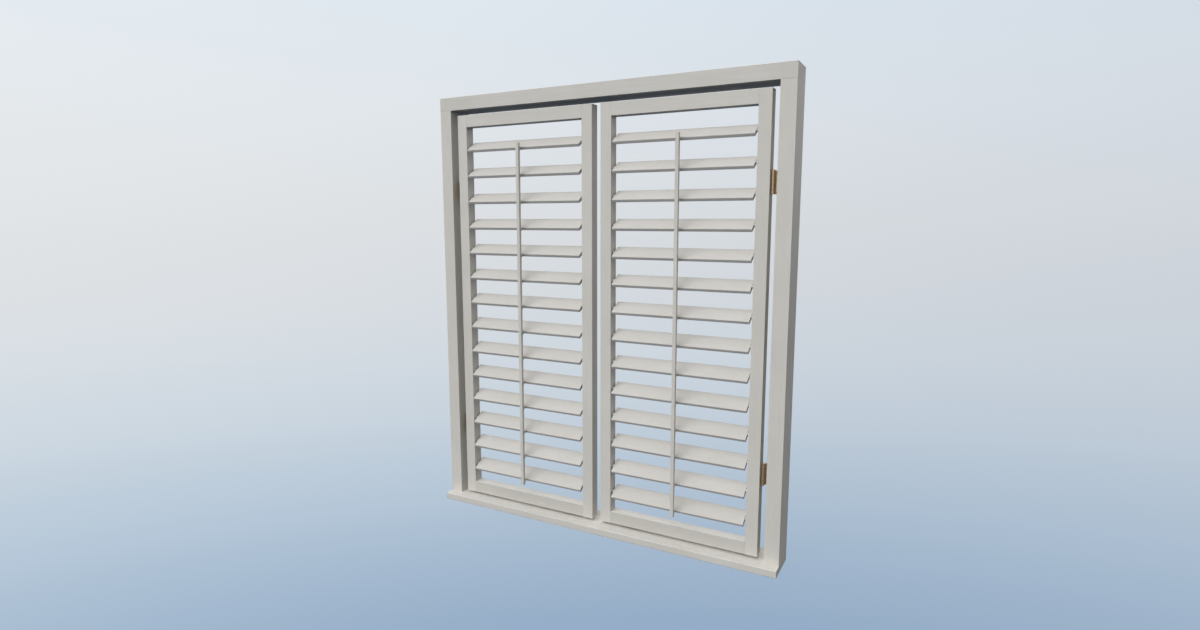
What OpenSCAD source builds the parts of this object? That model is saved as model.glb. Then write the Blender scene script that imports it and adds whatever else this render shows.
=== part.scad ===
// Pair of louvred shutter panels hinged in a four-sided timber frame.
// Millimetres. +Z up, -Y is the room side, the frame stands on its sill.
// Origin: centre of the footprint, on the underside of the sill.

/* [Frame] */
// Outside width of the frame
frame_w = 1200; // [1100:1:1400]
// Height from the underside of the sill to the top of the head
frame_h = 1419; // [1400:1:1440]
// Depth of the jambs and the head, front to back
frame_d = 94; // [88:1:120]
// Face width of a jamb
jamb_w = 44.5; // [42:0.5:60]
// Face height of the head
head_h = 43.5; // [40:0.5:60]
// Thickness of the sill board
sill_t = 22; // [18:1:30]
// How far the sill stands forward of the frame
sill_proj = 32; // [10:1:60]
// Easing of the timber edges
ease = 1; // [0.4:0.1:2]

/* [Panels] */
// Gap between a jamb and the hinge edge of a panel
side_gap = 21.8; // [21:0.1:24]
// Gap between the two panels at the middle
meeting_gap = 29.4; // [10:0.1:40]
// Gap under the panels
bottom_gap = 9.4; // [4:0.1:12]
// Gap over the panels
top_gap = 16.7; // [4:0.1:24]
// Panel thickness
panel_t = 35; // [32:0.5:40]
// Set-back of the panel face behind the frame face
panel_setback = 8.7; // [6:0.1:10]
// Stile face width
stile_w = 36.7; // [36:0.1:60]
// Top rail face height
top_rail_h = 40; // [38:0.5:70]
// Bottom rail face height
bottom_rail_h = 39; // [38:0.5:70]

/* [Louvres] */
// Spacing of the louvre pivots
louvre_pitch = 86; // [84:0.5:88]
// Width of a louvre, front edge to back edge
louvre_chord = 53.7; // [48:0.1:60]
// Thickness of a louvre
louvre_t = 10.2; // [9:0.1:12]
// Tilt of the louvres as drawn, front edge down
louvre_tilt = 32.7; // [0:0.1:60]
// Space between a louvre end and its stile
louvre_gap = 6.2; // [3:0.1:8]
// Middle of the louvre stack below the middle of the opening
louvre_low = 1.2; // [0:0.1:3]

/* [Tilt rod] */
// Face width of the rod
rod_w = 11; // [9:0.5:16]
// Thickness of the rod
rod_t = 9.8; // [8:0.1:14]
// Rod end above the first staple
rod_over_top = 20.4; // [6:0.1:30]
// Rod end below the last staple
rod_under = 7.5; // [6:0.1:20]
// Staple bar in front of the louvre edge
staple_reach = 7.1; // [6:0.1:9]
// Back of the rod in front of the staple bar
rod_standoff = 6; // [5.8:0.1:8]

/* [Hinges] */
// Length of a hinge
hinge_l = 65; // [50:5:90]
// Hinge centre from the end of the panel
hinge_inset = 247.5; // [120:0.5:300]
// Radius of the knuckles
knuckle_r = 4.5; // [4.2:0.1:4.6]
// Pivot line out from the hinge edge of the panel
pivot_out = 5.1; // [5:0.1:5.4]
// Pivot line behind the panel face
pivot_back = 14.7; // [13:0.1:15]

/* [Hidden] */

// ---- colours
paint = [0.86, 0.85, 0.82];
brass = [0.72, 0.56, 0.30];
steel = [0.66, 0.67, 0.69];
nylon = [0.90, 0.90, 0.88];
beech = [0.80, 0.66, 0.47];

// ---- derived places, right-hand side (the left-hand side is its mirror image)
count = 14;
depth = frame_d + sill_proj;
y_front = -depth/2 + sill_proj;
y_back = depth/2;
z_head = frame_h - head_h;
x_out = frame_w/2;
x_jamb = x_out - jamb_w;
x_edge = x_jamb - side_gap;
x_meet = meeting_gap/2;
z_pan = sill_t + bottom_gap;
z_pan_top = z_head - top_gap;
pan_h = z_pan_top - z_pan;
y_pan = y_front + panel_setback;
y_pan_back = y_pan + panel_t;
y_mid = y_pan + panel_t/2;
x_hs = x_edge - stile_w;
x_ms = x_meet + stile_w;
x_mid = (x_hs + x_ms)/2;
rail_l = x_hs - x_ms;
louvre_l = rail_l - 2*louvre_gap;
z_open0 = z_pan + bottom_rail_h;
z_open1 = z_pan_top - top_rail_h;
z_first = (z_open0 + z_open1)/2 - louvre_low + (count - 1)/2*louvre_pitch;
function louvre_z(i) = z_first - (i - 1)*louvre_pitch;

// louvre pin: shank, collar, depth in the stile and in the louvre
pin_r = 2.5;
pin_run = 0.05;
collar_r = 4;
collar_l = louvre_gap - 0.5;
pin_in_stile = 10;
pin_in_louvre = 15;

// wire staples
wire_r = 0.8;
staple_half = 3.2;
rod_staple_half = 2.3;
staple_hold = 8;
bar_r = louvre_chord/2 + staple_reach;
bar_y = y_mid - bar_r*cos(louvre_tilt);
bar_drop = bar_r*sin(louvre_tilt);
rod_back = bar_y - rod_standoff;
rod_z0 = louvre_z(count) - bar_drop - rod_under;
rod_z1 = louvre_z(1) - bar_drop + rod_over_top;

// hinges
x_piv = x_edge + pivot_out;
y_piv = y_pan + pivot_back;
hinge_pin_r = 2.25;
hinge_run = 0.05;
leaf_t = 2;
to_jamb = x_jamb - x_piv;
knuckle_l = hinge_l/5;
crank_y = 12.5;
frame_leaf_y = 38;
panel_leaf_y = 19;
frame_screw_y = 26;
panel_screw_y = 11.5;
screw_step = 22;
hinge_z = [z_pan + hinge_inset, z_pan_top - hinge_inset];

// small countersunk screws
s_r = 1.75;
s_head_r = 3.5;
s_head_h = 1.8;
s_hold = 22;

// long frame screws
f_r = 2.5;
f_head_r = 5;
f_head_h = 2.6;
f_l = 85;
f_sink = 0.4;
f_y = [y_front + 23, y_front + 71];
x_jamb_mid = (x_out + x_jamb)/2;

// wall fixing holes through the jambs
fix_r = 2.75;
fix_head_r = 5.5;
fix_y = y_front + 66;
fix_z = [150, 500, 900, 1250];

// rail dowels
dowel_r = 4;
dowel_half = 28;
dowel_step = 20;

// magnetic catch and strike plate
catch_x = 115;
catch_w = 44;
catch_d = 14;
catch_h = 30;
lug_w = 10;
lug_t = 4;
strike_t = 2;
strike_w = 38;
strike_h = 26;
strike_z = z_pan + 5;
catch_y = y_pan_back + strike_t + 0.3;
magnet = [20, 6, 10];
magnet_z = sill_t + 17;

// ---- shared shapes

// Section of a board with eased edges, w by t, centred
function soft(w, t, e) = let (q = [[1, 1, 0], [-1, 1, 90], [-1, -1, 180], [1, -1, 270]])
    [for (c = q) for (s = [0:3]) [c[0]*(w/2 - e) + e*cos(c[2] + 30*s), c[1]*(t/2 - e) + e*sin(c[2] + 30*s)]];

// Board standing along Z, centred on x and y
module upright(w, d, h, e) { linear_extrude(height = h) polygon(soft(w, d, e)); }

// Board lying along X, centred on y and z
module lying(l, d, h, e) { rotate([90, 0, 90]) linear_extrude(height = l, center = true) polygon(soft(d, h, e)); }

// Right-hand part as drawn, left-hand part mirrored
module on(side) { if (side > 0) children(); else mirror([1, 0, 0]) children(); }

// Rod along X from x0 to x1
module xrod(x0, x1, r) { translate([x0, 0, 0]) rotate([0, 90, 0]) cylinder(h = x1 - x0, r = r, $fn = 32); }

// Countersunk screw pointing down -Z, top of its head at z = 0, cross slot in the head
module screw(l, r, hr, hh) {
    difference() {
        union() {
            translate([0, 0, -hh]) cylinder(h = hh, r1 = r, r2 = hr, $fn = 32);
            translate([0, 0, -(l - 2*r)]) cylinder(h = l - 2*r - hh, r = r, $fn = 32);
            translate([0, 0, -l]) cylinder(h = 2*r, r1 = 0.2, r2 = r, $fn = 32);
        }
        for (t = [0, 90]) rotate([0, 0, t]) translate([-0.55*hr, -0.12*hr, -0.5*hh]) cube([1.1*hr, 0.24*hr, hh]);
    }
}

// Hole for that screw: countersink, clearance through the fitting, pilot behind it
module screw_cut(l, r, hr, hh, thru) {
    translate([0, 0, -hh]) cylinder(h = hh, r1 = r, r2 = hr, $fn = 32);
    translate([0, 0, -thru]) cylinder(h = thru, r = r + 0.05, $fn = 32);
}
module pilot(l, r) { translate([0, 0, -l]) cylinder(h = l, r = r, $fn = 32); }

// ---- screw places, right-hand side: children point down -Z at the head
module at_frame_leaf_screws() {
    for (hz = hinge_z) for (k = [-1, 0, 1])
        translate([x_jamb - leaf_t, y_piv + frame_screw_y, hz + k*screw_step]) rotate([0, -90, 0]) children();
}
module at_panel_leaf_screws() {
    for (hz = hinge_z) for (k = [-1, 0, 1])
        translate([x_edge + leaf_t, y_piv + panel_screw_y, hz + k*screw_step]) rotate([0, 90, 0]) children();
}
module at_strike_screws() {
    for (k = [-1, 1])
        translate([catch_x + k*(strike_w/2 - 5), y_pan_back + strike_t, strike_z + strike_h/2]) rotate([-90, 0, 0]) children();
}
module at_catch_screws() {
    for (k = [-1, 1])
        translate([catch_x + k*(catch_w/2 + lug_w/2), catch_y + catch_d/2, sill_t + lug_t]) children();
}
module at_head_screws() { for (y = f_y) translate([x_jamb_mid, y, frame_h - f_sink]) children(); }
module at_sill_screws() { for (y = f_y) translate([x_jamb_mid, y, f_sink]) rotate([180, 0, 0]) children(); }

// ---- frame boards

module jamb(side) color(paint) on(side) difference() {
    translate([x_jamb_mid, y_front + frame_d/2, sill_t]) upright(jamb_w, frame_d, z_head - sill_t, ease);
    at_head_screws() pilot(f_l, f_r);
    at_sill_screws() pilot(f_l, f_r);
    at_frame_leaf_screws() pilot(leaf_t + s_hold, s_r);
    for (z = fix_z) translate([x_jamb, fix_y, z]) {
        xrod(-1, jamb_w + 1, fix_r);
        translate([-0.01, 0, 0]) rotate([0, 90, 0]) cylinder(h = 3, r1 = fix_head_r, r2 = fix_r, $fn = 32);
    }
}
module left_jamb() jamb(-1);
module right_jamb() jamb(1);

module head() color(paint) difference() {
    translate([0, y_front + frame_d/2, z_head + head_h/2]) lying(frame_w, frame_d, head_h, ease);
    for (s = [-1, 1]) on(s) at_head_screws() {
        translate([0, 0, -0.01]) screw_cut(f_l, f_r, f_head_r, f_head_h, head_h + 1);
        cylinder(h = 2, r = f_head_r, $fn = 32);
    }
}

module sill() color(paint) difference() {
    translate([0, 0, sill_t/2]) lying(frame_w, depth, sill_t, 1.5*ease);
    for (s = [-1, 1]) on(s) {
        at_sill_screws() {
            translate([0, 0, -0.01]) screw_cut(f_l, f_r, f_head_r, f_head_h, sill_t + 1);
            cylinder(h = 2, r = f_head_r, $fn = 32);
        }
        at_catch_screws() pilot(lug_t + 12, s_r);
    }
}

// ---- panel boards

module hinge_stile(side) color(paint) on(side) difference() {
    translate([(x_edge + x_hs)/2, y_mid, z_pan]) upright(stile_w, panel_t, pan_h, ease);
    for (i = [1:count]) translate([0, y_mid, louvre_z(i)]) xrod(x_hs - 1, x_hs + pin_in_stile, pin_r);
    at_panel_leaf_screws() pilot(leaf_t + s_hold, s_r);
    at_dowels(0, 1);
}
module meeting_stile(side) color(paint) on(side) difference() {
    translate([(x_meet + x_ms)/2, y_mid, z_pan]) upright(stile_w, panel_t, pan_h, ease);
    for (i = [1:count]) translate([0, y_mid, louvre_z(i)]) xrod(x_ms - pin_in_stile, x_ms + 1, pin_r);
    at_dowels(0, 1);
}

// Dowels, or their holes one millimetre deeper
module at_dowels(lo, extra) {
    for (z = [z_pan + bottom_rail_h/2, z_pan_top - top_rail_h/2]) for (k = [-1, 1]) for (x = [x_ms, x_hs])
        translate([0, y_mid, z + k*dowel_step/2]) xrod(x - dowel_half - extra, x + dowel_half + extra, dowel_r);
}

module rail(side, z0, h) color(paint) on(side) difference() {
    translate([x_mid, y_mid, z0 + h/2]) lying(rail_l, panel_t, h, ease);
    at_dowels(0, 1);
    at_strike_screws() pilot(strike_t + s_hold, s_r);
}
module left_hinge_stile() hinge_stile(-1);
module left_meeting_stile() meeting_stile(-1);
module left_top_rail() rail(-1, z_open1, top_rail_h);
module left_bottom_rail() rail(-1, z_pan, bottom_rail_h);
module right_hinge_stile() hinge_stile(1);
module right_meeting_stile() meeting_stile(1);
module right_top_rail() rail(1, z_open1, top_rail_h);
module right_bottom_rail() rail(1, z_pan, bottom_rail_h);
module left_rail_dowels() color(beech) on(-1) at_dowels(0, 0);
module right_rail_dowels() color(beech) on(1) at_dowels(0, 0);

// ---- louvres: a flat slat with a bore in each end and a wire staple in its front edge

module slat() difference() {
    lying(louvre_l, louvre_chord, louvre_t, 1.6);
    for (s = [-1, 1]) on(s) xrod(louvre_l/2 - pin_in_louvre - 1, louvre_l/2 + 1, pin_r + pin_run);
    for (s = [-1, 1]) translate([s*staple_half, -bar_r, 0]) rotate([-90, 0, 0]) cylinder(h = staple_reach + staple_hold + 1, r = wire_r + 0.05, $fn = 24);
}
module louvre_staple() union() {
    for (s = [-1, 1]) translate([s*staple_half, -bar_r, 0]) {
        rotate([-90, 0, 0]) cylinder(h = staple_reach + staple_hold, r = wire_r, $fn = 24);
        sphere(r = wire_r, $fn = 24);
    }
    translate([0, -bar_r, 0]) xrod(-staple_half, staple_half, wire_r);
}
module louvre(side, i) translate([side*x_mid, y_mid, louvre_z(i)]) rotate([louvre_tilt, 0, 0]) {
    color(paint) slat();
    color(steel) louvre_staple();
}
module left_louvre_01() louvre(-1, 1);
module left_louvre_02() louvre(-1, 2);
module left_louvre_03() louvre(-1, 3);
module left_louvre_04() louvre(-1, 4);
module left_louvre_05() louvre(-1, 5);
module left_louvre_06() louvre(-1, 6);
module left_louvre_07() louvre(-1, 7);
module left_louvre_08() louvre(-1, 8);
module left_louvre_09() louvre(-1, 9);
module left_louvre_10() louvre(-1, 10);
module left_louvre_11() louvre(-1, 11);
module left_louvre_12() louvre(-1, 12);
module left_louvre_13() louvre(-1, 13);
module left_louvre_14() louvre(-1, 14);
module right_louvre_01() louvre(1, 1);
module right_louvre_02() louvre(1, 2);
module right_louvre_03() louvre(1, 3);
module right_louvre_04() louvre(1, 4);
module right_louvre_05() louvre(1, 5);
module right_louvre_06() louvre(1, 6);
module right_louvre_07() louvre(1, 7);
module right_louvre_08() louvre(1, 8);
module right_louvre_09() louvre(1, 9);
module right_louvre_10() louvre(1, 10);
module right_louvre_11() louvre(1, 11);
module right_louvre_12() louvre(1, 12);
module right_louvre_13() louvre(1, 13);
module right_louvre_14() louvre(1, 14);

// ---- louvre pins: shank in the stile, collar in the gap, shank in the louvre

module louvre_pin() union() {
    xrod(-pin_in_stile, louvre_gap + pin_in_louvre, pin_r);
    xrod(0, collar_l, collar_r);
}
module louvre_pins(side) color(nylon) on(side) for (i = [1:count]) {
    translate([x_ms, y_mid, louvre_z(i)]) louvre_pin();
    translate([x_hs, y_mid, louvre_z(i)]) mirror([1, 0, 0]) louvre_pin();
}
module left_louvre_pins() louvre_pins(-1);
module right_louvre_pins() louvre_pins(1);

// ---- tilt rod with its upright staples, each hooked round a louvre staple

module tilt_rod(side) color(paint) difference() {
    translate([side*x_mid, rod_back - rod_t/2, rod_z0]) upright(rod_w, rod_t, rod_z1 - rod_z0, 0.8);
    for (i = [1:count]) for (k = [-1, 1])
        translate([side*x_mid, rod_back + 1, louvre_z(i) - bar_drop + k*rod_staple_half]) rotate([90, 0, 0]) cylinder(h = 7.5, r = wire_r, $fn = 24);
}
module rod_staple() union() {
    for (k = [-1, 1]) translate([0, bar_y + 2, k*rod_staple_half]) {
        rotate([90, 0, 0]) cylinder(h = rod_standoff + 2 + 6, r = wire_r, $fn = 24);
        sphere(r = wire_r, $fn = 24);
    }
    translate([0, bar_y + 2, -rod_staple_half]) cylinder(h = 2*rod_staple_half, r = wire_r, $fn = 24);
}
module rod_staples(side) color(steel) for (i = [1:count]) translate([side*x_mid, 0, louvre_z(i) - bar_drop]) rod_staple();
module left_tilt_rod() tilt_rod(-1);
module right_tilt_rod() tilt_rod(1);
module left_rod_staples() rod_staples(-1);
module right_rod_staples() rod_staples(1);

// ---- butt hinges: cranked leaf on the jamb, flat leaf on the panel edge

module knuckles(ks) { for (k = ks) translate([0, 0, k*knuckle_l + 0.2]) cylinder(h = knuckle_l - 0.4, r = knuckle_r, $fn = 48); }
module gaps(ks, x0, x1, y0, y1) { for (k = ks) translate([x0, y0, k*knuckle_l - 0.2]) cube([x1 - x0, y1 - y0, knuckle_l + 0.4]); }

module frame_leaf() difference() {
    union() {
        knuckles([0, 2, 4]);
        difference() {
            translate([2.5, 0, 0]) cube([leaf_t, crank_y + leaf_t, hinge_l]);
            gaps([1, 3], 0, 6, -1, 5.2);
        }
        translate([2.5, crank_y, 0]) cube([to_jamb - 2.5, leaf_t, hinge_l]);
        translate([to_jamb - leaf_t, crank_y, 0]) cube([leaf_t, frame_leaf_y - crank_y, hinge_l]);
    }
    translate([0, 0, -1]) cylinder(h = hinge_l + 2, r = hinge_pin_r, $fn = 48);
}
module panel_leaf() difference() {
    union() {
        knuckles([1, 3]);
        difference() {
            translate([-pivot_out, 0, 0]) cube([leaf_t, panel_leaf_y, hinge_l]);
            gaps([0, 2, 4], -6, 0, -1, 5.2);
        }
    }
    translate([0, 0, -1]) cylinder(h = hinge_l + 2, r = hinge_pin_r + hinge_run, $fn = 48);
}
module frame_hinge_leaves() color(brass) for (s = [-1, 1]) on(s) difference() {
    for (hz = hinge_z) translate([x_piv, y_piv, hz - hinge_l/2]) frame_leaf();
    at_frame_leaf_screws() screw_cut(leaf_t + s_hold, s_r, s_head_r, s_head_h, leaf_t + 1);
}
module panel_hinge_leaves(side) color(brass) on(side) difference() {
    for (hz = hinge_z) translate([x_piv, y_piv, hz - hinge_l/2]) panel_leaf();
    at_panel_leaf_screws() screw_cut(leaf_t + s_hold, s_r, s_head_r, s_head_h, leaf_t + 1);
}
module left_panel_hinge_leaves() panel_hinge_leaves(-1);
module right_panel_hinge_leaves() panel_hinge_leaves(1);
module hinge_pins() color(brass) for (s = [-1, 1]) on(s) for (hz = hinge_z) translate([x_piv, y_piv, hz - hinge_l/2]) union() {
    cylinder(h = hinge_l, r = hinge_pin_r, $fn = 48);
    translate([0, 0, hinge_l]) cylinder(h = 1.6, r = 3.4, $fn = 48);
}

// ---- small screws
module small_screw(l) screw(l, s_r, s_head_r, s_head_h);
module panel_screws(side) color(brass) on(side) {
    at_panel_leaf_screws() small_screw(leaf_t + s_hold);
    at_strike_screws() small_screw(strike_t + s_hold);
}
module left_panel_screws() panel_screws(-1);
module right_panel_screws() panel_screws(1);
module frame_hardware_screws() color(brass) for (s = [-1, 1]) on(s) {
    at_frame_leaf_screws() small_screw(leaf_t + s_hold);
    at_catch_screws() small_screw(lug_t + 12);
}
module frame_joint_screws() color(steel) for (s = [-1, 1]) on(s) {
    at_head_screws() screw(f_l, f_r, f_head_r, f_head_h);
    at_sill_screws() screw(f_l, f_r, f_head_r, f_head_h);
}

// ---- magnetic catches on the sill behind the bottom rails
module catch_body() difference() {
    union() {
        translate([-catch_w/2, 0, 0]) cube([catch_w, catch_d, catch_h]);
        translate([-catch_w/2 - lug_w, 0, 0]) cube([catch_w + 2*lug_w, catch_d, lug_t]);
    }
    translate([-magnet[0]/2, -1, magnet_z - sill_t]) cube([magnet[0], magnet[1] + 1, magnet[2]]);
}
module magnet_catches() color(nylon) for (s = [-1, 1]) on(s) difference() {
    translate([catch_x, catch_y, sill_t]) catch_body();
    at_catch_screws() screw_cut(lug_t + 12, s_r, s_head_r, s_head_h, lug_t + 1);
}
module catch_magnets() color(steel) for (s = [-1, 1]) on(s)
    translate([catch_x - magnet[0]/2, catch_y, magnet_z]) cube([magnet[0], magnet[1], magnet[2]]);
module strike_plate(side) color(steel) on(side) difference() {
    translate([catch_x - strike_w/2, y_pan_back, strike_z]) cube([strike_w, strike_t, strike_h]);
    at_strike_screws() screw_cut(strike_t + s_hold, s_r, s_head_r, s_head_h, strike_t + 1);
}
module left_strike_plate() strike_plate(-1);
module right_strike_plate() strike_plate(1);

left_jamb();
right_jamb();
head();
sill();
frame_joint_screws();
left_hinge_stile();
left_meeting_stile();
left_top_rail();
left_bottom_rail();
left_rail_dowels();
right_hinge_stile();
right_meeting_stile();
right_top_rail();
right_bottom_rail();
right_rail_dowels();
left_louvre_01();
left_louvre_02();
left_louvre_03();
left_louvre_04();
left_louvre_05();
left_louvre_06();
left_louvre_07();
left_louvre_08();
left_louvre_09();
left_louvre_10();
left_louvre_11();
left_louvre_12();
left_louvre_13();
left_louvre_14();
right_louvre_01();
right_louvre_02();
right_louvre_03();
right_louvre_04();
right_louvre_05();
right_louvre_06();
right_louvre_07();
right_louvre_08();
right_louvre_09();
right_louvre_10();
right_louvre_11();
right_louvre_12();
right_louvre_13();
right_louvre_14();
left_louvre_pins();
left_tilt_rod();
left_rod_staples();
left_panel_hinge_leaves();
left_panel_screws();
left_strike_plate();
right_louvre_pins();
right_tilt_rod();
right_rod_staples();
right_panel_hinge_leaves();
right_panel_screws();
right_strike_plate();
frame_hinge_leaves();
hinge_pins();
frame_hardware_screws();
magnet_catches();
catch_magnets();
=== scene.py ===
import math
import bpy
import bmesh
from mathutils import Matrix, Vector

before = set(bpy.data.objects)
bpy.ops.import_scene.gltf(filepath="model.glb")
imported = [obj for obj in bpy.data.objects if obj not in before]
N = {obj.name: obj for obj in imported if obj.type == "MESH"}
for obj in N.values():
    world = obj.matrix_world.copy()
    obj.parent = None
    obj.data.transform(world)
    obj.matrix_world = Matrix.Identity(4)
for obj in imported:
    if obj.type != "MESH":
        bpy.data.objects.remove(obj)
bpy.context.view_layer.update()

scene = bpy.context.scene
SIDES = (("left", -1), ("right", 1))

# ------------------------------------------------------------------ camera
cam = bpy.data.cameras.new("camera")
cam.sensor_width = 36
cam.lens = 20.265
cam.clip_start, cam.clip_end = 0.05, 300
camera = bpy.data.objects.new("camera", cam)
camera.location = (1.0014, -1.8811, 1.0090)
camera.rotation_euler = (math.radians(82), 0, math.radians(27.99))
scene.collection.objects.link(camera)
scene.camera = camera
scene.view_settings.view_transform = "Standard"
scene.view_settings.look = "None"
scene.view_settings.exposure = 0
scene.view_settings.gamma = 1


# ------------------------------------------------------------------ materials
class Tree:
    """A material's node tree, built one node at a time."""

    def __init__(self, name):
        self.m = bpy.data.materials.new(name)
        self.m.use_nodes = True
        self.t = self.m.node_tree
        self.t.nodes.clear()
        self.out = self.node("ShaderNodeOutputMaterial")
        self.p = self.node("ShaderNodeBsdfPrincipled")
        self.link(self.p.outputs[0], self.out.inputs[0])
        tc = self.node("ShaderNodeTexCoord")
        self.coord = tc.outputs["Object"]
        self.facing = tc.outputs["Normal"]

    def node(self, kind, **props):
        n = self.t.nodes.new(kind)
        for k, v in props.items():
            setattr(n, k, v)
        return n

    def link(self, a, b):
        self.t.links.new(a, b)

    def put(self, socket, value):
        if hasattr(value, "is_linked") or isinstance(value, bpy.types.NodeSocket):
            self.link(value, socket)
        else:
            socket.default_value = value

    def scaled(self, scale, rotation=(0, 0, 0), location=(0, 0, 0)):
        n = self.node("ShaderNodeMapping")
        self.link(self.coord, n.inputs[0])
        n.inputs["Location"].default_value = location
        n.inputs["Rotation"].default_value = rotation
        n.inputs["Scale"].default_value = scale
        return n.outputs[0]

    def noise(self, vector, scale=1.0, detail=3.0, rough=0.5, distortion=0.0):
        n = self.node("ShaderNodeTexNoise")
        self.link(vector, n.inputs["Vector"])
        n.inputs["Scale"].default_value = scale
        n.inputs["Detail"].default_value = detail
        n.inputs["Roughness"].default_value = rough
        n.inputs["Distortion"].default_value = distortion
        return n.outputs["Fac"]

    def ramp(self, value, lo, hi, a=0.0, b=1.0, smooth=True):
        n = self.node("ShaderNodeMapRange")
        if smooth:
            n.interpolation_type = "SMOOTHSTEP"
        self.link(value, n.inputs["Value"])
        n.inputs["From Min"].default_value = lo
        n.inputs["From Max"].default_value = hi
        n.inputs["To Min"].default_value = a
        n.inputs["To Max"].default_value = b
        return n.outputs["Result"]

    def math(self, op, a, b=0.0, c=0.0):
        n = self.node("ShaderNodeMath", operation=op)
        for i, v in enumerate((a, b, c)):
            self.put(n.inputs[i], v)
        return n.outputs[0]

    def mix(self, fac, a, b, blend="MIX"):
        n = self.node("ShaderNodeMix", data_type="RGBA", blend_type=blend)
        self.put(n.inputs[0], fac)
        for s, v in ((n.inputs[6], a), (n.inputs[7], b)):
            self.put(s, (*v, 1.0) if isinstance(v, tuple) and len(v) == 3 else v)
        return n.outputs[2]

    def bump(self, height, distance, strength=1.0, normal=None):
        n = self.node("ShaderNodeBump")
        n.inputs["Strength"].default_value = strength
        n.inputs["Distance"].default_value = distance
        self.link(height, n.inputs["Height"])
        if normal is not None:
            self.link(normal, n.inputs["Normal"])
        return n.outputs[0]

    def upward(self):
        """1 on what faces up at rest, in the object's own axes, so that it rides with the piece."""
        d = self.node("ShaderNodeVectorMath", operation="DOT_PRODUCT")
        self.link(self.facing, d.inputs[0])
        d.inputs[1].default_value = (0, 0, 1)
        return self.ramp(d.outputs["Value"], 0.55, 0.95)

    def crevice(self, distance):
        n = self.node("ShaderNodeAmbientOcclusion", samples=6)
        n.inputs["Distance"].default_value = distance
        return n.outputs["AO"]

    def edge(self, radius):
        """1 on a convex or concave edge narrower than radius, 0 on a flat face."""
        n = self.node("ShaderNodeBevel", samples=4)
        n.inputs["Radius"].default_value = radius
        g = self.node("ShaderNodeNewGeometry")
        d = self.node("ShaderNodeVectorMath", operation="DOT_PRODUCT")
        self.link(n.outputs[0], d.inputs[0])
        self.link(g.outputs["Normal"], d.inputs[1])
        return self.ramp(d.outputs["Value"], 0.995, 0.90)


PAINT = (0.520, 0.506, 0.470)


def along(axis, across, length):
    """Mapping scale for streaks that run along an axis: periods in metres."""
    s = [1 / across] * 3
    s["XYZ".index(axis)] = 1 / length
    return tuple(s)


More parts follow.
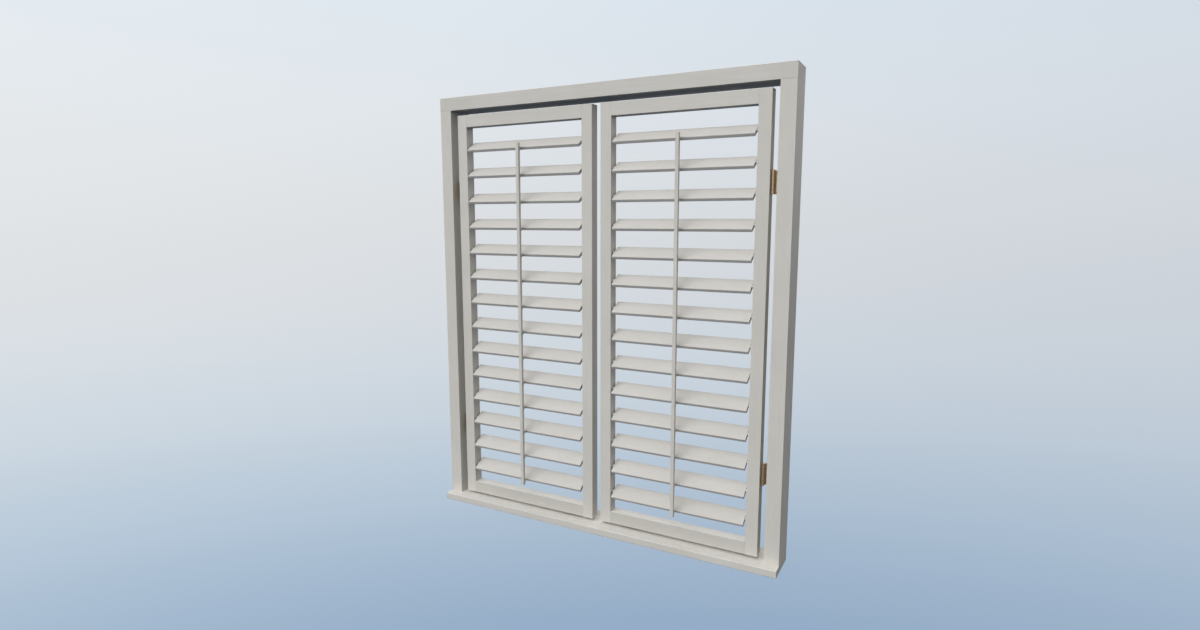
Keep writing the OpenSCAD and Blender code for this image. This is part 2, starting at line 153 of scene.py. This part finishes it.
def painted(name, axis, shift, base=PAINT, wear_and_shade=1.0, dust_and_top_light_colour=(0.60, 0.585, 0.55), dust_and_top_light_amount=0.34):
    """Brushed satin paint on softwood: strokes and grain run along the board."""
    t = Tree(name)
    # long brush strokes, two widths, a little wavy
    strokes = t.noise(t.scaled(along(axis, 0.0045, 0.16), location=(shift, shift * 0.7, shift * 1.3)), detail=4, rough=0.62, distortion=0.25)
    bristle = t.noise(t.scaled(along(axis, 0.0011, 0.07), location=(shift * 2, 0, shift)), detail=3, rough=0.55)
    # growth rings of the timber showing faintly through the paint
    grain = t.noise(t.scaled(along(axis, 0.014, 0.55), location=(0, shift, shift * 0.4)), detail=5, rough=0.66, distortion=1.1)
    rings = t.math("SINE", t.math("MULTIPLY", grain, 46.0))
    peel = t.noise(t.scaled((900, 900, 900)), detail=1)
    broad = t.noise(t.scaled((5, 5, 5), location=(shift, shift, shift)), detail=3, rough=0.55)
    # painted shade: an ambient occlusion mask, broken up by patchy noise, darkens the paint in crevices and where
    # boards meet
    ao = t.crevice(0.010)
    grime_and_painted_shade = t.ramp(ao, 0.86, 0.42)
    patchy = t.ramp(t.noise(t.scaled((26, 26, 26)), detail=4, rough=0.6), 0.34, 0.70)
    # colour: broad drift, streaks, and painted shade with a little grime where boards meet
    dark = tuple(c * k for c, k in zip(base, (0.975, 0.965, 0.940)))
    light = tuple(min(1, c * k) for c, k in zip(base, (1.06, 1.06, 1.055)))
    col = t.mix(t.ramp(broad, 0.32, 0.70), dark, light)
    col = t.mix(t.ramp(strokes, 0.30, 0.74, 0.0, 0.42), col, tuple(c * 0.93 for c in base))
    col = t.mix(t.ramp(bristle, 0.34, 0.68, 0.0, 0.55), col, tuple(c * 0.905 for c in base))
    col = t.mix(t.ramp(rings, -1, 1, 0.0, 0.055), col, (0.44, 0.37, 0.28))
    # painted shade with some grime: occluded places are mixed towards a dark brown, and the wear factor scales this
    # as well as the rubbed arrises
    col = t.mix(t.math("MULTIPLY", t.math("MULTIPLY", grime_and_painted_shade, patchy), 0.30 * wear_and_shade), col, (0.26, 0.235, 0.20))
    # thin dust and painted light: what faces up is made lighter, partly as dust and partly as if lit from above
    dust_and_painted_shading = t.math("MULTIPLY", t.upward(), t.ramp(t.noise(t.scaled((55, 55, 55), location=(shift, 0, 0)), detail=6, rough=0.7), 0.36, 0.66, 0.60, 1.0))
    col = t.mix(t.math("MULTIPLY", dust_and_painted_shading, dust_and_top_light_amount), col, dust_and_top_light_colour)
    # paint rubbed thin on the arrises
    rub = t.math("MULTIPLY", t.edge(0.0012), t.ramp(t.noise(t.scaled((40, 40, 40)), detail=5, rough=0.7), 0.50, 0.66))
    col = t.mix(t.math("MULTIPLY", rub, 0.40 * wear_and_shade), col, (0.50, 0.43, 0.335))
    t.link(col, t.p.inputs["Base Color"])
    r = t.math("ADD", t.ramp(strokes, 0.25, 0.75, 0.46, 0.58), t.ramp(peel, 0.3, 0.7, -0.02, 0.03))
    r = t.math("ADD", r, t.ramp(bristle, 0.3, 0.7, -0.05, 0.05))
    r = t.math("ADD", r, t.math("MULTIPLY", grime_and_painted_shade, 0.12))
    r = t.math("ADD", r, t.math("MULTIPLY", dust_and_painted_shading, 0.16))
    t.link(r, t.p.inputs["Roughness"])
    # relief: soft brush ridges, finer bristle lines, the grain under the paint, and dust nibs
    nibs = t.ramp(t.noise(t.scaled((420, 420, 420), location=(shift, 0, 0)), detail=1), 0.745, 0.84)
    h = t.math("ADD", t.math("MULTIPLY", strokes, 0.60), t.math("MULTIPLY", bristle, 0.30))
    h = t.math("ADD", h, t.math("MULTIPLY", rings, 0.05))
    h = t.math("ADD", h, t.math("MULTIPLY", peel, 0.06))
    h = t.math("ADD", h, t.math("MULTIPLY", nibs, 0.26))
    t.link(t.bump(h, 0.00034, 0.85), t.p.inputs["Normal"])
    t.p.inputs["Specular IOR Level"].default_value = 0.28
    return t.m


def metal(name, base, dark, rough, axis="Z", brushed=0.0, speck=0.25, metallic=1.0):
    t = Tree(name)
    lines = t.noise(t.scaled(along(axis, 0.00035, 0.02)), detail=3, rough=0.6)
    blotch = t.noise(t.scaled((160, 160, 160)), detail=4, rough=0.6)
    spots = t.noise(t.scaled((1100, 1100, 1100)), detail=2)
    # painted shade: an ambient occlusion mask darkens the metal almost to black in crevices and against other parts
    grime_and_painted_shade = t.ramp(t.crevice(0.004), 0.85, 0.35)
    col = t.mix(t.ramp(blotch, 0.34, 0.70, 0, 0.55), base, dark)
    col = t.mix(t.ramp(spots, 0.60, 0.72, 0, speck), col, tuple(c * 0.45 for c in dark))
    col = t.mix(t.math("MULTIPLY", grime_and_painted_shade, 0.55), col, tuple(c * 0.30 for c in dark))
    t.link(col, t.p.inputs["Base Color"])
    t.p.inputs["Metallic"].default_value = metallic
    r = t.math("ADD", t.ramp(blotch, 0.3, 0.7, rough, rough + 0.14), t.math("MULTIPLY", grime_and_painted_shade, 0.2))
    t.link(r, t.p.inputs["Roughness"])
    h = t.math("ADD", t.math("MULTIPLY", lines, 0.6 * brushed), t.math("MULTIPLY", blotch, 0.4))
    t.link(t.bump(h, 0.00008, 0.5), t.p.inputs["Normal"])
    return t.m


def plastic(name, base, rough=0.38):
    t = Tree(name)
    fine = t.noise(t.scaled((2600, 2600, 2600)), detail=1)
    broad = t.noise(t.scaled((60, 60, 60)), detail=3)
    # painted shade with some dust: an ambient occlusion mask darkens the plastic towards brown in crevices
    dust_and_painted_shading = t.ramp(t.crevice(0.006), 0.9, 0.4)
    col = t.mix(t.ramp(broad, 0.3, 0.7, 0, 0.5), base, tuple(c * 0.95 for c in base))
    col = t.mix(t.math("MULTIPLY", dust_and_painted_shading, 0.35), col, (0.36, 0.33, 0.28))
    t.link(col, t.p.inputs["Base Color"])
    t.link(t.ramp(broad, 0.3, 0.7, rough, rough + 0.1), t.p.inputs["Roughness"])
    t.link(t.bump(fine, 0.00005, 0.4), t.p.inputs["Normal"])
    return t.m


def bare_wood(name, axis, base, dark):
    t = Tree(name)
    grain = t.noise(t.scaled(along(axis, 0.0012, 0.05)), detail=5, rough=0.6, distortion=0.5)
    flecks = t.noise(t.scaled(along(axis, 0.0004, 0.006)), detail=2)
    col = t.mix(t.ramp(grain, 0.3, 0.72), base, dark)
    col = t.mix(t.ramp(flecks, 0.6, 0.72, 0, 0.6), col, tuple(c * 0.6 for c in dark))
    t.link(col, t.p.inputs["Base Color"])
    t.link(t.ramp(grain, 0.3, 0.7, 0.55, 0.75), t.p.inputs["Roughness"])
    t.link(t.bump(grain, 0.00015, 0.5), t.p.inputs["Normal"])
    return t.m


def wear_material(node, material):
    ob = N[node]
    ob.data.materials.clear()
    ob.data.materials.append(material)
    for p in ob.data.polygons:
        p.material_index = 0


def join_points(node, gap=2e-6):
    """Merges points that lie on top of each other, so that no face is left without an area."""
    w = N[node].modifiers.new("weld", "WELD")
    w.merge_threshold = gap


def ease_edges(node, width, segments=2, angle=48, flat=0.6):
    """Rounds the sharp arrises that sawn ends keep, and shades the long ones smoothly."""
    ob = N[node]
    join_points(node)
    d = ob.modifiers.new("plane", "DECIMATE")
    d.decimate_type = "DISSOLVE"
    d.angle_limit = math.radians(flat)
    d.delimit = set()
    b = ob.modifiers.new("ease", "BEVEL")
    b.limit_method = "ANGLE"
    b.angle_limit = math.radians(angle)
    b.width = width
    b.segments = segments
    b.use_clamp_overlap = True
    b.miter_outer = "MITER_ARC"
    join_points(node)
    n = ob.modifiers.new("normals", "WEIGHTED_NORMAL")
    n.weight = 60
    n.keep_sharp = False


BRASS = metal("brass_lacquered", (0.60, 0.45, 0.28), (0.43, 0.30, 0.165), 0.40, brushed=0.5, metallic=0.72)
BRASS_SCREW = metal("brass_screw", (0.60, 0.46, 0.28), (0.40, 0.28, 0.15), 0.34, speck=0.15, metallic=0.8)
ZINC = metal("zinc_plate", (0.50, 0.505, 0.51), (0.36, 0.365, 0.38), 0.34, brushed=0.4, speck=0.15)
WIRE = metal("staple_wire", (0.47, 0.475, 0.48), (0.30, 0.30, 0.31), 0.32, axis="X", speck=0.2)
NICKEL = metal("magnet_nickel", (0.40, 0.39, 0.38), (0.28, 0.27, 0.27), 0.28, speck=0.1)
NYLON = plastic("white_nylon", (0.70, 0.70, 0.675))
BEECH = bare_wood("beech_dowel", "X", (0.62, 0.44, 0.26), (0.50, 0.33, 0.18))

wear_material("left_jamb", painted("paint_left_jamb", "Z", 0.0))
wear_material("right_jamb", painted("paint_right_jamb", "Z", 3.1))
# painted shade: the head wears a slightly darker copy of the paint, standing in for shade
wear_material("head", painted("paint_head", "X", 7.7, base=tuple(c * 0.965 for c in PAINT)))
# painted light: the sill's upward faces are made much lighter than the other boards, partly as dust and partly as
# light from above; crevice shade and wear are also raised
wear_material("sill", painted("paint_sill", "X", 11.3, wear_and_shade=1.2, dust_and_top_light_colour=(0.63, 0.62, 0.59), dust_and_top_light_amount=0.75))
for s, k in SIDES:
    wear_material(f"{s}_hinge_stile", painted(f"paint_{s}_hinge_stile", "Z", 17.0 + k))
    wear_material(f"{s}_meeting_stile", painted(f"paint_{s}_meeting_stile", "Z", 23.0 + 2 * k))
    wear_material(f"{s}_top_rail", painted(f"paint_{s}_top_rail", "X", 29.0 + 3 * k))
    # painted shade and painted light: the bottom rails wear a darker copy of the paint, while their upward faces are
    # made much lighter, partly as dust and partly as light from above
    wear_material(f"{s}_bottom_rail", painted(f"paint_{s}_bottom_rail", "X", 37.0 + 4 * k, base=tuple(c * 0.885 for c in PAINT), dust_and_top_light_colour=(0.60, 0.59, 0.565), dust_and_top_light_amount=0.75))
    wear_material(f"{s}_tilt_rod", painted(f"paint_{s}_tilt_rod", "Z", 43.0 + 5 * k, wear_and_shade=1.3))
    wear_material(f"{s}_rail_dowels", BEECH)
    wear_material(f"{s}_louvre_pins", NYLON)
    wear_material(f"{s}_rod_staples", WIRE)
    wear_material(f"{s}_panel_hinge_leaves", BRASS)
    wear_material(f"{s}_panel_screws", BRASS_SCREW)
    wear_material(f"{s}_strike_plate", ZINC)
wear_material("frame_hinge_leaves", BRASS)
wear_material("hinge_pins", BRASS)
wear_material("frame_hardware_screws", BRASS_SCREW)
wear_material("frame_joint_screws", ZINC)
wear_material("magnet_catches", NYLON)
wear_material("catch_magnets", NICKEL)

# painted shade: the louvres wear darker copies of the paint so that their tilted, light-facing tops don't read
# brighter than the frame; the four copies also differ a little at random
LOUVRE_SHADED_BASE = (0.498, 0.487, 0.463)
LOUVRE_PAINT = [painted(f"paint_louvre_{i}", "X", 53.0 + 6.1 * i, base=tuple(c * f for c in LOUVRE_SHADED_BASE), dust_and_top_light_colour=(0.575, 0.565, 0.545))
                for i, f in enumerate((0.905, 0.916, 0.896, 0.911))]
for s, k in SIDES:
    for i in range(1, 15):
        node = f"{s}_louvre_{i:02d}"
        wear_material(node, LOUVRE_PAINT[(i * 3 + (k > 0) * 2) % 4])

BOARDS = ["left_jamb", "right_jamb", "head", "sill"]
for s, k in SIDES:
    BOARDS += [f"{s}_{part}" for part in ("hinge_stile", "meeting_stile", "top_rail", "bottom_rail", "tilt_rod")]
for node in BOARDS:
    ease_edges(node, 0.0007 if "rod" in node else 0.0009)
for s, k in SIDES:
    for i in range(1, 15):
        ease_edges(f"{s}_louvre_{i:02d}", 0.0006)
    ease_edges(f"{s}_strike_plate", 0.0003)
    join_points(f"{s}_rod_staples")
    ease_edges(f"{s}_panel_hinge_leaves", 0.0002)
ease_edges("frame_hinge_leaves", 0.0002)
ease_edges("magnet_catches", 0.0008)

# ------------------------------------------------------------------ floor, light
# A pale blue pool of paper round the object, longer along RIGHT than across it, that fades to near
# white with distance, and a studio wall that takes over at the horizon without a line. Both lose a
# little light towards RIGHT.
POOL = (0.70, -1.30, 0.0)
RIGHT = (0.883, 0.469, 0.0)
STRETCH = 0.62
FLOOR_STOPS = ((0.0, (0.270, 0.385, 0.540)), (0.12, (0.282, 0.398, 0.552)), (0.24, (0.306, 0.424, 0.575)), (0.36, (0.438, 0.544, 0.664)),
               (0.48, (0.558, 0.636, 0.715)), (0.60, (0.625, 0.682, 0.739)), (0.75, (0.664, 0.700, 0.740)), (1.0, (0.694, 0.725, 0.756)))
WALL_STOPS = ((0.0, (0.694, 0.726, 0.756)), (0.148, (0.726, 0.768, 0.812)), (0.287, (0.717, 0.786, 0.848)), (1.0, (0.710, 0.790, 0.865)))
FALL = (0.131, 0.109, 0.078)
FLOOR_GLOW = 0.95
FLOOR_LIGHT = 1.35


def backdrop(tree, key, side, stops, k=1.0):
    """The gradient's colour, times k, from the ramp's key (0 to 1) and the side (-1 to 1)."""
    r = tree.nodes.new("ShaderNodeValToRGB")
    tree.links.new(key, r.inputs[0])
    e = r.color_ramp.elements
    while len(e) < len(stops):
        e.new(0.5)
    for el, (at, c) in zip(e, stops):
        el.position = at
        el.color = (*[v * k for v in c], 1)
    half = tree.nodes.new("ShaderNodeMapRange")
    half.inputs["From Min"].default_value = -1
    tree.links.new(side, half.inputs["Value"])
    tint = tree.nodes.new("ShaderNodeMix")
    tint.data_type = "RGBA"
    tree.links.new(half.outputs["Result"], tint.inputs[0])
    tint.inputs[6].default_value = (*[1 + f for f in FALL], 1)
    tint.inputs[7].default_value = (*[1 - f for f in FALL], 1)
    out = tree.nodes.new("ShaderNodeMix")
    out.data_type, out.blend_type = "RGBA", "MULTIPLY"
    out.inputs[0].default_value = 1
    tree.links.new(r.outputs[0], out.inputs[6])
    tree.links.new(tint.outputs[2], out.inputs[7])
    return out.outputs[2]


def pale_floor():
    """Seamless matt paper, part lit from within so that shadows on it stay light."""
    t = Tree("pale_floor")
    g = t.node("ShaderNodeNewGeometry")
    off = t.node("ShaderNodeVectorMath", operation="SUBTRACT")
    t.link(g.outputs["Position"], off.inputs[0])
    off.inputs[1].default_value = POOL
    far = t.node("ShaderNodeVectorMath", operation="LENGTH")
    t.link(off.outputs[0], far.inputs[0])
    dot = t.node("ShaderNodeVectorMath", operation="DOT_PRODUCT")
    t.link(off.outputs[0], dot.inputs[0])
    dot.inputs[1].default_value = RIGHT
    along_right = t.node("ShaderNodeVectorMath", operation="SCALE")
    along_right.inputs[0].default_value = RIGHT
    t.link(t.math("MULTIPLY", dot.outputs["Value"], 1 - STRETCH), along_right.inputs["Scale"])
    squeezed = t.node("ShaderNodeVectorMath", operation="SUBTRACT")
    t.link(off.outputs[0], squeezed.inputs[0])
    t.link(along_right.outputs[0], squeezed.inputs[1])
    rho = t.node("ShaderNodeVectorMath", operation="LENGTH")
    t.link(squeezed.outputs[0], rho.inputs[0])
    key = t.math("DIVIDE", rho.outputs["Value"], t.math("ADD", rho.outputs["Value"], 3.0))
    reach = t.math("SQRT", t.math("MULTIPLY_ADD", far.outputs["Value"], far.outputs["Value"], 4.0))
    side = t.math("DIVIDE", dot.outputs["Value"], reach)
    t.link(backdrop(t.t, key, side, FLOOR_STOPS, (1 - FLOOR_GLOW) / FLOOR_LIGHT), t.p.inputs["Base Color"])
    t.link(backdrop(t.t, key, side, FLOOR_STOPS, FLOOR_GLOW), t.p.inputs["Emission Color"])
    t.p.inputs["Emission Strength"].default_value = 1.0
    t.p.inputs["Roughness"].default_value = 0.95
    t.p.inputs["Specular IOR Level"].default_value = 0.0
    return t.m


bm = bmesh.new()
bmesh.ops.create_grid(bm, x_segments=4, y_segments=4, size=400)
me = bpy.data.meshes.new("floor")
bm.to_mesh(me)
bm.free()
floor = bpy.data.objects.new("floor", me)
floor.data.materials.append(pale_floor())
scene.collection.objects.link(floor)
floor.visible_diffuse = False
floor.visible_glossy = False

# the studio: the wall as seen, and plain neutral light from above that falls away below the horizon
world = bpy.data.worlds.new("studio")
scene.world = world
world.use_nodes = True
wt = world.node_tree
wt.nodes.clear()
tc = wt.nodes.new("ShaderNodeTexCoord")
sep = wt.nodes.new("ShaderNodeSeparateXYZ")
wt.links.new(tc.outputs["Generated"], sep.inputs[0])
Z = sep.outputs["Z"]
dot = wt.nodes.new("ShaderNodeVectorMath")
dot.operation = "DOT_PRODUCT"
wt.links.new(tc.outputs["Generated"], dot.inputs[0])
dot.inputs[1].default_value = RIGHT
seen = wt.nodes.new("ShaderNodeBackground")
wt.links.new(backdrop(wt, Z, dot.outputs["Value"], WALL_STOPS), seen.inputs[0])
soft = wt.nodes.new("ShaderNodeBackground")
wr = wt.nodes.new("ShaderNodeValToRGB")
mr = wt.nodes.new("ShaderNodeMapRange")
mr.inputs["From Min"].default_value = -1
mr.inputs["From Max"].default_value = 1
wt.links.new(Z, mr.inputs["Value"])
wt.links.new(mr.outputs["Result"], wr.inputs[0])
e = wr.color_ramp.elements
e[0].position, e[0].color = 0.47, (0.004, 0.030, 0.075, 1)
e[1].position, e[1].color = 0.50, (0.735, 0.725, 0.712, 1)
wt.links.new(wr.outputs[0], soft.inputs[0])
path = wt.nodes.new("ShaderNodeLightPath")
pick = wt.nodes.new("ShaderNodeMixShader")
wt.links.new(path.outputs["Is Camera Ray"], pick.inputs[0])
wt.links.new(soft.outputs[0], pick.inputs[1])
wt.links.new(seen.outputs[0], pick.inputs[2])
wout = wt.nodes.new("ShaderNodeOutputWorld")
wt.links.new(pick.outputs[0], wout.inputs[0])


def sun(name, direction, strength, angle, colour):
    l = bpy.data.lights.new(name, "SUN")
    l.energy = strength
    l.angle = math.radians(angle)
    l.color = colour
    o = bpy.data.objects.new(name, l)
    o.rotation_mode = "QUATERNION"
    o.rotation_quaternion = Vector(direction).to_track_quat("Z", "Y")
    scene.collection.objects.link(o)
    return o


sun("key", (-0.30, -0.78, 0.60), 2.60, 60, (0.962, 0.968, 0.985))
sun("back_fill", (-0.08, 0.80, 0.62), 0.66, 70, (0.985, 0.99, 1.0))
